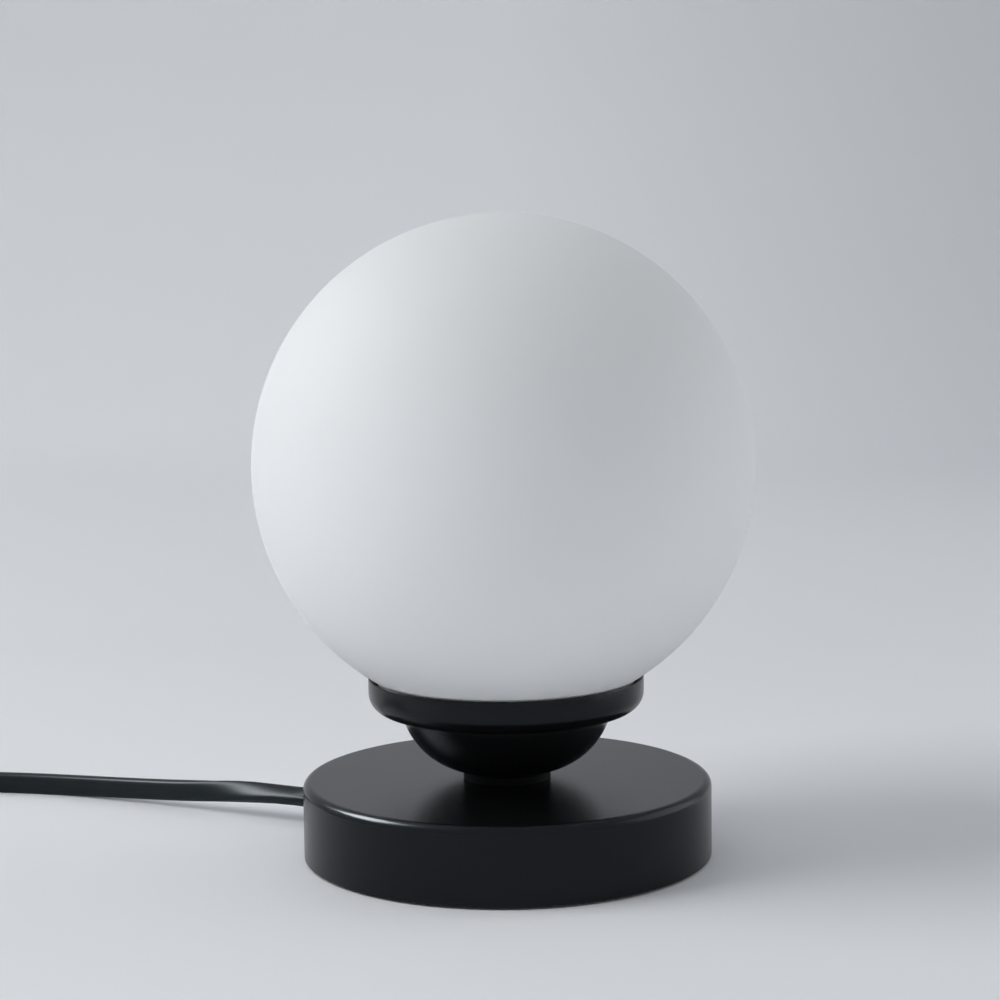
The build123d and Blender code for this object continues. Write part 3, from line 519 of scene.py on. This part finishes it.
# Cup
cup_low, cup_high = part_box("cup")
rim_radius = cup_high.x / MM
rim_top = cup_high.z / MM
cup_under = cup_low.z / MM
rim_inner = rim_radius - cup_sheet
corner_centre_r = rim_radius - cup_corner_radius
corner_centre_z = cup_ledge_under + cup_corner_radius
bowl_centre = cup_under + bowl_arc_radius
bowl_end = math.degrees(math.asin((cup_ledge_under - bowl_centre) / bowl_arc_radius))
bowl_inner = bowl_arc_radius - cup_sheet
throat_end = math.degrees(math.asin((cup_ledge_under + cup_sheet - bowl_centre) / bowl_inner))

cup_profile = (
    [(axis_hole_radius, cup_under)]
    + arc(bowl_flat_radius, bowl_centre, bowl_arc_radius, -90, bowl_end, 28)
    + arc(corner_centre_r, corner_centre_z, cup_corner_radius, -90, 0, 14)
    + [(rim_radius, rim_top), (rim_inner, rim_top - cup_rim_bevel)]
    + arc(corner_centre_r, corner_centre_z, cup_corner_radius - cup_sheet, 0, -90, 12)
    + arc(bowl_flat_radius, bowl_centre, bowl_inner, throat_end, -90, 24)
    + [(axis_hole_radius, cup_under + cup_sheet)]
)
cup_shell = spun(cup_profile)
soften(cup_shell, cup_edge)
finished("cup_shell", cup_shell, "black_paint", "root", ["cup"])


# Lampholder: cap, sleeve and the rolled shell that takes the bulb
def upright(radius, start, end, steps):
    """Points of a straight wall, close enough for a thread to be rolled into it."""
    return [(radius, start + (end - start) * i / steps) for i in range(steps + 1)]


def roll_thread(bm, low, high, depth):
    """Rolls a round screw thread into a spun wall between two heights, inwards by some millimetres."""
    for vert in bm.verts:
        height = vert.co.z / MM
        pressed = ease(height, low, low + thread_fade) * (1 - ease(height, high - thread_fade, high))
        if pressed == 0:
            continue
        radius = math.hypot(vert.co.x, vert.co.y) / MM
        turn = math.atan2(vert.co.y, vert.co.x) / (2 * math.pi)
        groove = (1 - math.cos(2 * math.pi * (height / thread_pitch - turn))) / 2
        share = 1 - depth * pressed * groove / radius
        vert.co.x *= share
        vert.co.y *= share


holder_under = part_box("lampholder_cap")[0].z / MM
holder_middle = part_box("lampholder_cap")[1].z / MM
holder_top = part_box("lampholder_body")[1].z / MM
holder_floor = holder_under + holder_boss_height + holder_cap_floor
holder_skirt_low = holder_middle - holder_skirt
holder_throat = holder_radius - holder_ledge

holder_cap = spun([
    (holder_bore_radius, holder_under),
    (holder_boss_radius, holder_under),
    (holder_boss_radius, holder_under + holder_boss_height),
    (holder_radius, holder_skirt_low),
    (holder_radius, holder_middle),
    (holder_throat, holder_middle),
    (holder_throat, holder_skirt_low + holder_cap_floor),
    (holder_boss_radius, holder_floor),
    (holder_bore_radius, holder_floor),
])
soften(holder_cap, holder_cap_edge)
finished("holder_cap", holder_cap, "holder_plastic", "root", ["lampholder_cap"])

holder_sleeve = spun([
    (holder_radius - holder_wall, holder_middle),
    (holder_radius, holder_middle),
    (holder_radius, holder_top),
    (holder_radius - holder_lip_width, holder_top),
    (holder_radius - holder_lip_width, holder_top - holder_lip_height),
    (holder_radius - holder_wall, holder_top - holder_lip_height),
])
soften(holder_sleeve, holder_sleeve_edge)
finished("holder_sleeve", holder_sleeve, "holder_plastic", "root", ["lampholder_body"])

shell_low, shell_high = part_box("lampholder_shell")
shell_radius = shell_high.x / MM
shell_under = shell_low.z / MM
shell_top = shell_high.z / MM
screw_shell = spun(
    upright(shell_radius, shell_under, shell_top, 60)
    + upright(shell_radius - shell_sheet, shell_top, shell_under, 60),
    steps=96,
)
roll_thread(screw_shell, shell_under + shell_plain_end, shell_top - shell_plain_end, -thread_depth)
finished("screw_shell", screw_shell, "shell_brass", "root", ["lampholder_shell"])

# Cap of the bulb, threaded up to a plain skirt
cap_low, cap_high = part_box("bulb_screw_shell")
cap_radius = cap_high.x / MM
cap_under = cap_low.z / MM
cap_top = cap_high.z / MM
cap_inner = cap_radius - bulb_cap_sheet
bulb_cap = spun(
    [(0, cap_under)]
    + arc(cap_radius - bulb_cap_corner, cap_under + bulb_cap_corner, bulb_cap_corner, -90, 0, 5)
    + upright(cap_radius, cap_under + bulb_cap_corner, cap_top, 56)[1:]
    + upright(cap_inner, cap_top, cap_under + bulb_cap_corner, 56)
    + [(cap_inner - bulb_cap_corner, cap_under + bulb_cap_sheet), (0, cap_under + bulb_cap_sheet)],
    closed=False,
    steps=96,
)
roll_thread(bulb_cap, cap_under + bulb_cap_corner, cap_top - bulb_cap_skirt, thread_depth)
finished("bulb_cap", bulb_cap, "bulb_cap_metal", "bulb", ["bulb_screw_shell"], crease=50.0)


# Lead: frames along a smooth line, and a flat section carried along them
def smooth_line(name, route):
    """Points in metres along a smooth curve whose control points are a route in millimetres."""
    curve = bpy.data.curves.new(name, "CURVE")
    curve.dimensions = "3D"
    curve.resolution_u = line_resolution
    spline = curve.splines.new("NURBS")
    spline.points.add(len(route) - 1)
    for point, (x, y, z) in zip(spline.points, route):
        point.co = (x * MM, y * MM, z * MM, 1.0)
    spline.order_u = 3
    spline.use_endpoint_u = True
    holder = bpy.data.objects.new(name, curve)
    bpy.context.scene.collection.objects.link(holder)
    bpy.context.view_layer.update()
    evaluated = holder.evaluated_get(bpy.context.evaluated_depsgraph_get())
    line = bpy.data.meshes.new_from_object(evaluated)
    points = [v.co.copy() for v in line.vertices]
    bpy.data.objects.remove(holder)
    bpy.data.curves.remove(curve)
    bpy.data.meshes.remove(line)
    return points


def cord_frames(points, roll_at):
    """A matrix at each point: X along the section's width, upright but for its roll, Z along the lead."""
    frames = []
    run = 0.0
    for i, point in enumerate(points):
        before = points[max(i - 1, 0)]
        after = points[min(i + 1, len(points) - 1)]
        run += (point - before).length
        way = (after - before).normalized()
        side = way.cross(Vector((0, 0, 1))).normalized()
        standing = side.cross(way)
        unrolled = Matrix((standing, way.cross(standing), way)).transposed()
        roll = Matrix.Rotation(math.radians(roll_at(run / MM)), 3, way)
        frames.append(Matrix.LocRotScale(point, roll @ unrolled, None))
    return frames


def flat_lead(frames):
    """The two-core section, with crowned sides and flat narrow edges, extruded from frame to frame."""
    bm = bmesh.new()
    section = ring(bm, 1.0)
    for vert in section:
        crowned = math.copysign(abs(vert.co.y) ** cord_edge_roundness, vert.co.y)
        vert.co.x *= cord_width / 2 * MM
        vert.co.y = crowned * cord_thickness / 2 * MM
    bmesh.ops.transform(bm, matrix=frames[0], verts=section)
    edges = list(bm.edges)
    bmesh.ops.edgeloop_fill(bm, edges=edges)
    for here, there in zip(frames, frames[1:]):
        grown = bmesh.ops.extrude_edge_only(bm, edges=edges)["geom"]
        edges = [g for g in grown if isinstance(g, bmesh.types.BMEdge)]
        verts = [g for g in grown if isinstance(g, bmesh.types.BMVert)]
        bmesh.ops.transform(bm, matrix=there @ here.inverted(), verts=verts)
    bmesh.ops.edgeloop_fill(bm, edges=edges)
    return bm


def lamp_side_roll(run):
    """The lead lies over on its side just outside the base and stands on its edge again further along."""
    settled = ease(run, exit_roll_fade, exit_roll_gone)
    return ease(run, exit_roll_start, exit_roll_full) * (exit_roll * (1 - settled) + lean * settled)


def coil_route():
    """Control points of the coil: one layer winds in, the lead climbs, and a second winds out above."""
    points = []
    total = 2 * coil_turns_per_layer + coil_climb_turns
    for step in range(round(total * coil_points_per_turn) + 1):
        turns = step / coil_points_per_turn
        past_first = max(turns - coil_turns_per_layer, 0)
        climb = min(past_first, coil_climb_turns) / coil_climb_turns
        wound = min(turns, coil_turns_per_layer) - max(past_first - coil_climb_turns, 0)
        radius = coil_outer_radius - coil_pitch * wound - coil_climb_dip * math.sin(math.pi * climb) ** 2
        angle = math.pi / 2 + 2 * math.pi * turns
        points.append((
            coil_centre[0] + radius * math.cos(angle),
            coil_centre[1] + radius * math.sin(angle),
            coil_floor + coil_layer_step * (1 - math.cos(math.pi * climb)) / 2,
        ))
    return points


lamp_side_line = smooth_line("lamp_side_line", lamp_side_route)
cord_lamp_side = finished(
    "cord_lamp_side",
    flat_lead(cord_frames(lamp_side_line, lamp_side_roll)),
    "black_pvc",
    "root",
    ["cord_free"],
)

plug_side_line = smooth_line("plug_side_line", link_route + coil_route() + tail_route)
cord_plug_side = finished(
    "cord_plug_side",
    flat_lead(cord_frames(plug_side_line, lambda run: 0.0)),
    "black_pvc",
    "root",
    ["cord_link", "cord_coil", "cord_tail"],
)


# Strap round the coil, its end lapped over its start
def strap_bend(x, z, start):
    """A quarter turn of the strap about a point, from an angle in degrees."""
    return arc(x, z, strap_corner, start, start - 90, 4)


tie_low, tie_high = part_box("cord_tie")
strap_left = tie_low.x / MM + strap_sheet
strap_right = tie_high.x / MM - strap_sheet
strap_under = tie_low.z / MM + strap_sheet
strap_top = tie_high.z / MM - strap_sheet
strap_start = (strap_left + strap_right) / 2 - strap_overlap / 2
strap_lap = strap_top + strap_sheet + strap_lap_gap
strap_line = (
    [(strap_start, strap_top)]
    + strap_bend(strap_right - strap_corner, strap_top - strap_corner, 90)
    + strap_bend(strap_right - strap_corner, strap_under + strap_corner, 0)
    + strap_bend(strap_left + strap_corner, strap_under + strap_corner, -90)
    + strap_bend(strap_left + strap_corner, strap_top - strap_corner, 180)
    + [(strap_start - 2 * strap_sheet, strap_top), (strap_start + strap_sheet, strap_lap)]
    + [(strap_start + strap_overlap, strap_lap)]
)
strap_side = coil_centre[1] - strap_width / 2
strap = drawn_out([Vector((x, strap_side, z)) * MM for x, z in strap_line], (0, strap_width * MM, 0))
bmesh.ops.solidify(strap, geom=list(strap.faces), thickness=strap_sheet * MM)
coil_strap = finished("coil_strap", strap, "tie_fabric", "root", ["cord_tie"])


# Plug, moulded round the end of the lead, with a grooved guard over the lead's last stretch
def section_ring(bm, x, width, height):
    """Edges of one rounded section across the plug, at a place along X in millimetres."""
    corner = min(plug_corner, plug_corner_share * width, plug_corner_share * height)
    verts = ring(bm, corner * MM)
    for vert in verts:
        across = vert.co.x + math.copysign((width / 2 - corner) * MM, vert.co.x)
        above = vert.co.y + math.copysign((height / 2 - corner) * MM, vert.co.y)
        vert.co = Vector((x * MM, plug_y + across, plug_z + above))
    return list(dict.fromkeys(edge for vert in verts for edge in vert.link_edges))


plug_low, plug_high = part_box("plug_body")
plug_y = (plug_low.y + plug_high.y) / 2
plug_z = (plug_low.z + plug_high.z) / 2
plug_tail = plug_low.x / MM
plug_front = plug_high.x / MM
plug_width = (plug_high.y - plug_low.y) / MM
plug_height = (plug_high.z - plug_low.z) / MM

guard_sections = []
guard_step = tail_guard_length / tail_guard_rings
for ring_number in range(tail_guard_rings):
    for share, groove in zip(tail_guard_shares, (0.0, 0.0, tail_guard_groove, tail_guard_groove)):
        run = guard_step * (ring_number + share)
        size = [
            end + (start - end) * run / tail_guard_length - groove
            for end, start in zip(tail_guard_end, plug_stations[0][1:])
        ]
        guard_sections.append((plug_tail - tail_guard_length + run, *size))

rib_sections = []
rib_root = plug_width - 2 * plug_rib_depth
for rib_number in range(plug_rib_count):
    for share, width in zip(plug_rib_shares, (rib_root, plug_width, plug_width, rib_root)):
        place = plug_rib_first + plug_rib_pitch * (rib_number + share)
        rib_sections.append((plug_tail + place, width, plug_height))

plug = bmesh.new()
plug_rings = [
    section_ring(plug, *section)
    for section in guard_sections
    + [(plug_tail + place, width, height) for place, width, height in plug_stations]
    + rib_sections
    + [(plug_front - plug_face_edge, plug_width, plug_height), (plug_front, *plug_face)]
]
for here, there in zip(plug_rings, plug_rings[1:]):
    bmesh.ops.bridge_loops(plug, edges=here + there)
bmesh.ops.edgeloop_fill(plug, edges=plug_rings[0])
bmesh.ops.edgeloop_fill(plug, edges=plug_rings[-1])
plug_moulding = finished("plug_moulding", plug, "plug_pvc", "root", ["plug_body"], crease=30.0)


# Marks on the rocker: a bar at the end that is up at rest, a ring at the other
def on_rocker(reach):
    """The place on the dished top of the rocker at a reach along it from its pin."""
    tilt = Matrix.Rotation(math.radians(-rocker_rest_angle), 4, "Y")
    slope = Matrix.Rotation(math.radians(-math.copysign(mark_slope, reach)), 4, "Y")
    pin = Matrix.Translation(Vector(rocker_pin) * MM)
    return pin @ tilt @ Matrix.Translation(Vector((reach, 0, mark_height)) * MM) @ slope


off_ring_profile = [
    (off_ring_inner, -mark_relief),
    (off_ring_inner + mark_edge, mark_relief),
    (off_ring_outer - mark_edge, mark_relief),
    (off_ring_outer, -mark_relief),
]
off_ring = spun(off_ring_profile, steps=48)
bmesh.ops.transform(off_ring, matrix=on_rocker(-mark_reach), verts=off_ring.verts)
finished("rocker_off_ring", off_ring, "switch_plastic", "rocker", None)

on_bar = bmesh.new()
on_bar_size = Matrix.Diagonal((on_bar_width, on_bar_length, 2 * mark_relief, 1.0))
bmesh.ops.create_cube(on_bar, size=MM, matrix=on_bar_size)
soften(on_bar, mark_edge)
bmesh.ops.transform(on_bar, matrix=on_rocker(mark_reach), verts=on_bar.verts)
finished("rocker_on_bar", on_bar, "switch_plastic", "rocker", None)


# Floor that sweeps up behind, light and camera
def background_rays(tree):
    """1 for the rays that show a background: those of the camera, of reflections and of clear glass."""
    path = add_node(tree, "ShaderNodeLightPath").outputs
    shown = path["Is Camera Ray"]
    for kind in ("Is Glossy Ray", "Is Transmission Ray"):
        either = add_node(tree, "ShaderNodeMath", {"operation": "MAXIMUM"}, {0: shown, 1: path[kind]})
        shown = either.outputs[0]
    return shown


def sweep_paper():
    """Matt seamless paper, pale blue grey; a painted glow behind the lamp, painted shade up on the right.
    """
    material, tree, shader, place = new_material(
        "backdrop_paper",
        Roughness=0.9,
        IOR=1.3,
        Specular_IOR_Level=0.1,
        Emission_Color=linear("#F2F8FF"),
    )
    axes = add_node(tree, "ShaderNodeSeparateXYZ", links={"Vector": place}).outputs
    depth = add_node(tree, "ShaderNodeMapRange", {"From Min": 0.35, "From Max": 1.15}, {"Value": axes["Y"]})
    aside = add_node(tree, "ShaderNodeMapRange", {"From Min": 0.0, "From Max": 0.45}, {"Value": axes["X"]})
    # Painted shade: the paper's colour darkens towards the back right, where the lamps' light falls off.
    corner = add_node(
        tree, "ShaderNodeMath", {"operation": "MULTIPLY"}, {0: depth.outputs[0], 1: aside.outputs[0]}
    )
    tones = add_node(
        tree,
        "ShaderNodeMix",
        {"data_type": "RGBA", 6: linear("#F5F7FA"), 7: linear("#DEE1E5")},
        {0: corner.outputs[0]},
    )
    tree.links.new(tones.outputs[2], shader.inputs["Base Color"])

    # Painted light: a glow emitted only for camera and glossy rays, fading upwards, rearwards and to the
    # right.
    height = add_node(
        tree,
        "ShaderNodeMapRange",
        {"From Min": 0.0, "From Max": 0.35, "To Min": 0.13, "To Max": 0.03},
        {"Value": axes["Z"]},
    )
    painted_glow_fade = add_node(tree, "ShaderNodeMapRange", {"To Min": 1.0, "To Max": 0.5}, {"Value": aside.outputs[0]})
    painted_glow = height.outputs[0]
    for factor in (depth.outputs[0], painted_glow_fade.outputs[0], background_rays(tree)):
        product = add_node(tree, "ShaderNodeMath", {"operation": "MULTIPLY"}, {0: painted_glow, 1: factor})
        painted_glow = product.outputs[0]
    tree.links.new(painted_glow, shader.inputs["Emission Strength"])
    return material


def backdrop():
    """A floor that curves up into a wall behind the lamp, in metres."""
    floor_front = -2.5
    floor_back = 1.0
    curve_radius = 0.7
    wall_top = 2.2
    half_width = 3.0
    rise = [(floor_front, 0.0)] + arc(floor_back, curve_radius, curve_radius, -90, 0, 24)
    rise.append((floor_back + curve_radius, wall_top))
    bm = drawn_out([(-half_width, y, z) for y, z in rise], (2 * half_width, 0, 0))
    for face in bm.faces:
        face.smooth = True
    mesh = bpy.data.meshes.new("backdrop")
    bm.to_mesh(mesh)
    bm.free()
    mesh.materials.append(sweep_paper())
    sweep = bpy.data.objects.new("backdrop", mesh)
    bpy.context.scene.collection.objects.link(sweep)


def softbox(name, place, target, width, height, power, lighting=True, mirrored=True):
    """A flat soft white light that faces a point, in metres and watts.

    It may light matt surfaces only, or show in glossy ones only.
    """
    light = bpy.data.lights.new(name, "AREA")
    light.shape = "RECTANGLE"
    light.size = width
    light.size_y = height
    light.energy = power
    lamp = bpy.data.objects.new(name, light)
    lamp.location = place
    lamp.visible_diffuse = lighting
    lamp.visible_glossy = mirrored
    lamp.rotation_mode = "QUATERNION"
    lamp.rotation_quaternion = (Vector(target) - Vector(place)).to_track_quat("-Z", "Y")
    bpy.context.scene.collection.objects.link(lamp)


backdrop()
softbox(
    "key_left",
    place=(-1.25, -0.22, 1.06),
    target=(0, 0, 0.08),
    width=1.0,
    height=1.0,
    power=13.9,
    mirrored=False,
)
softbox(
    "window_left",
    place=(-1.2, 0.23, 1.03),
    target=(0, 0, 0.02),
    width=0.8,
    height=0.68,
    power=50.0,
    lighting=False,
)
softbox(
    "fill_right",
    place=(1.6, 0.35, 0.6),
    target=(0, 0, 0.1),
    width=1.8,
    height=1.4,
    power=8.3,
)
softbox(
    "low_front",
    place=(0.0, -3.6, 0.2),
    target=(0, 0, 0.12),
    width=4.5,
    height=0.34,
    power=22.0,
    mirrored=False,
)

# Dim room, with a window of daylight behind the lamp; pale where it is itself seen
world = bpy.data.worlds.new("studio")
world.use_nodes = True
room = world.node_tree
sky = room.nodes["Background"]
sky.inputs["Color"].default_value = linear("#F6FAFF")
ray = add_node(room, "ShaderNodeTexCoord").outputs["Generated"]
look = add_node(room, "ShaderNodeSeparateXYZ", links={"Vector": ray})
window = add_node(room, "ShaderNodeMapRange", {"To Min": 0.2, "To Max": 1.27}, {"Value": look.outputs["Y"]})
level = add_node(
    room, "ShaderNodeMix", {"data_type": "FLOAT", 3: 0.6}, {0: background_rays(room), 2: window.outputs[0]}
)
room.links.new(level.outputs[0], sky.inputs["Strength"])
bpy.context.scene.world = world

# Camera, where the photograph was taken from
lens = bpy.data.cameras.new("camera")
lens.lens = camera_focal
lens.sensor_width = sensor_width
camera = bpy.data.objects.new("camera", lens)
pitch = math.radians(camera_pitch)
roll = math.radians(camera_roll)
forward = Vector((0, math.cos(pitch), -math.sin(pitch)))
sideways = Vector((1, 0, 0))
above = sideways.cross(forward)
right = math.cos(roll) * sideways + math.sin(roll) * above
up = -math.sin(roll) * sideways + math.cos(roll) * above
facing = Matrix((right, up, -forward)).transposed()
camera.matrix_world = Matrix.LocRotScale(Vector(camera_place) * MM, facing, None)
bpy.context.scene.collection.objects.link(camera)
bpy.context.scene.camera = camera
bpy.context.scene.view_settings.view_transform = "Standard"
